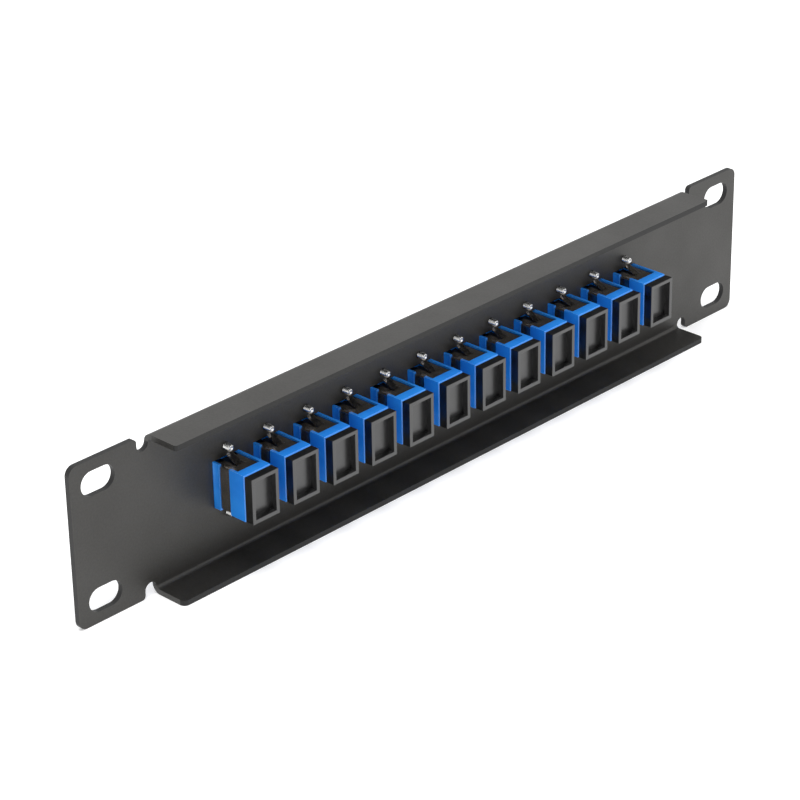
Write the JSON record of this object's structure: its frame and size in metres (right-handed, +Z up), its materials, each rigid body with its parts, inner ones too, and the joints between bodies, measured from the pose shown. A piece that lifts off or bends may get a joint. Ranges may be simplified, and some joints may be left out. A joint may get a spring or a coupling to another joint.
{
  "type": "fibre patch panel",
  "caption": "Low rack-mount fibre patch panel: folded black steel sheet with slotted ears, a row of upright blue couplers held by screws and spring clips, and black dust caps.",
  "frame": {"origin": "centre of the rack slot pattern, on the rear face of the sheet that seats on the rack rails", "axes": "+X to the right seen from the front, +Y to the rear of the rack, +Z up"},
  "size_m": [0.254, 0.0327, 0.0444],
  "materials": {
    "panel_paint": "black powder coat with a fine texture",
    "coupler_blue": "moulded blue plastic, half gloss",
    "clip_steel": "bright rolled spring steel, folded",
    "cap_black": "moulded black plastic with a soft sheen",
    "sleeve_ceramic": "ground zirconia, unglazed",
    "holder_plastic": "moulded black plastic",
    "screw_steel": "bright plated steel"
  },
  "bodies": {
    "panel_assembly": {"panel": "panel_paint", "housing_01": "coupler_blue", "housing_02": "coupler_blue", "housing_03": "coupler_blue", "housing_04": "coupler_blue", "housing_05": "coupler_blue", "housing_06": "coupler_blue", "housing_07": "coupler_blue", "housing_08": "coupler_blue", "housing_09": "coupler_blue", "housing_10": "coupler_blue", "housing_11": "coupler_blue", "housing_12": "coupler_blue", "clip_01": "clip_steel", "clip_02": "clip_steel", "clip_03": "clip_steel", "clip_04": "clip_steel", "clip_05": "clip_steel", "clip_06": "clip_steel", "clip_07": "clip_steel", "clip_08": "clip_steel", "clip_09": "clip_steel", "clip_10": "clip_steel", "clip_11": "clip_steel", "clip_12": "clip_steel", "sleeves": "sleeve_ceramic", "sleeve_holders": "holder_plastic", "screws": "screw_steel"},
    "rear_cap_01": {"rear_cap_01": "cap_black"},
    "front_cap_01": {"front_cap_01": "cap_black"},
    "rear_cap_02": {"rear_cap_02": "cap_black"},
    "front_cap_02": {"front_cap_02": "cap_black"},
    "rear_cap_03": {"rear_cap_03": "cap_black"},
    "front_cap_03": {"front_cap_03": "cap_black"},
    "rear_cap_04": {"rear_cap_04": "cap_black"},
    "front_cap_04": {"front_cap_04": "cap_black"},
    "rear_cap_05": {"rear_cap_05": "cap_black"},
    "front_cap_05": {"front_cap_05": "cap_black"},
    "rear_cap_06": {"rear_cap_06": "cap_black"},
    "front_cap_06": {"front_cap_06": "cap_black"},
    "rear_cap_07": {"rear_cap_07": "cap_black"},
    "front_cap_07": {"front_cap_07": "cap_black"},
    "rear_cap_08": {"rear_cap_08": "cap_black"},
    "front_cap_08": {"front_cap_08": "cap_black"},
    "rear_cap_09": {"rear_cap_09": "cap_black"},
    "front_cap_09": {"front_cap_09": "cap_black"},
    "rear_cap_10": {"rear_cap_10": "cap_black"},
    "front_cap_10": {"front_cap_10": "cap_black"},
    "rear_cap_11": {"rear_cap_11": "cap_black"},
    "front_cap_11": {"front_cap_11": "cap_black"},
    "rear_cap_12": {"rear_cap_12": "cap_black"},
    "front_cap_12": {"front_cap_12": "cap_black"}
  },
  "joints": [
    {"name": "rear_cap_01_pull", "type": "slide", "parent": "panel_assembly", "child": "rear_cap_01", "axis": [0, 1, 0], "range_m": [0, 0.0135]},
    {"name": "front_cap_01_pull", "type": "slide", "parent": "panel_assembly", "child": "front_cap_01", "axis": [0, -1, 0], "range_m": [0, 0.0135]},
    {"name": "rear_cap_02_pull", "type": "slide", "parent": "panel_assembly", "child": "rear_cap_02", "axis": [0, 1, 0], "range_m": [0, 0.0135]},
    {"name": "front_cap_02_pull", "type": "slide", "parent": "panel_assembly", "child": "front_cap_02", "axis": [0, -1, 0], "range_m": [0, 0.0135]},
    {"name": "rear_cap_03_pull", "type": "slide", "parent": "panel_assembly", "child": "rear_cap_03", "axis": [0, 1, 0], "range_m": [0, 0.0135]},
    {"name": "front_cap_03_pull", "type": "slide", "parent": "panel_assembly", "child": "front_cap_03", "axis": [0, -1, 0], "range_m": [0, 0.0135]},
    {"name": "rear_cap_04_pull", "type": "slide", "parent": "panel_assembly", "child": "rear_cap_04", "axis": [0, 1, 0], "range_m": [0, 0.0135]},
    {"name": "front_cap_04_pull", "type": "slide", "parent": "panel_assembly", "child": "front_cap_04", "axis": [0, -1, 0], "range_m": [0, 0.0135]},
    {"name": "rear_cap_05_pull", "type": "slide", "parent": "panel_assembly", "child": "rear_cap_05", "axis": [0, 1, 0], "range_m": [0, 0.0135]},
    {"name": "front_cap_05_pull", "type": "slide", "parent": "panel_assembly", "child": "front_cap_05", "axis": [0, -1, 0], "range_m": [0, 0.0135]},
    {"name": "rear_cap_06_pull", "type": "slide", "parent": "panel_assembly", "child": "rear_cap_06", "axis": [0, 1, 0], "range_m": [0, 0.0135]},
    {"name": "front_cap_06_pull", "type": "slide", "parent": "panel_assembly", "child": "front_cap_06", "axis": [0, -1, 0], "range_m": [0, 0.0135]},
    {"name": "rear_cap_07_pull", "type": "slide", "parent": "panel_assembly", "child": "rear_cap_07", "axis": [0, 1, 0], "range_m": [0, 0.0135]},
    {"name": "front_cap_07_pull", "type": "slide", "parent": "panel_assembly", "child": "front_cap_07", "axis": [0, -1, 0], "range_m": [0, 0.0135]},
    {"name": "rear_cap_08_pull", "type": "slide", "parent": "panel_assembly", "child": "rear_cap_08", "axis": [0, 1, 0], "range_m": [0, 0.0135]},
    {"name": "front_cap_08_pull", "type": "slide", "parent": "panel_assembly", "child": "front_cap_08", "axis": [0, -1, 0], "range_m": [0, 0.0135]},
    {"name": "rear_cap_09_pull", "type": "slide", "parent": "panel_assembly", "child": "rear_cap_09", "axis": [0, 1, 0], "range_m": [0, 0.0135]},
    {"name": "front_cap_09_pull", "type": "slide", "parent": "panel_assembly", "child": "front_cap_09", "axis": [0, -1, 0], "range_m": [0, 0.0135]},
    {"name": "rear_cap_10_pull", "type": "slide", "parent": "panel_assembly", "child": "rear_cap_10", "axis": [0, 1, 0], "range_m": [0, 0.0135]},
    {"name": "front_cap_10_pull", "type": "slide", "parent": "panel_assembly", "child": "front_cap_10", "axis": [0, -1, 0], "range_m": [0, 0.0135]},
    {"name": "rear_cap_11_pull", "type": "slide", "parent": "panel_assembly", "child": "rear_cap_11", "axis": [0, 1, 0], "range_m": [0, 0.0135]},
    {"name": "front_cap_11_pull", "type": "slide", "parent": "panel_assembly", "child": "front_cap_11", "axis": [0, -1, 0], "range_m": [0, 0.0135]},
    {"name": "rear_cap_12_pull", "type": "slide", "parent": "panel_assembly", "child": "rear_cap_12", "axis": [0, 1, 0], "range_m": [0, 0.0135]},
    {"name": "front_cap_12_pull", "type": "slide", "parent": "panel_assembly", "child": "front_cap_12", "axis": [0, -1, 0], "range_m": [0, 0.0135]}
  ]
}
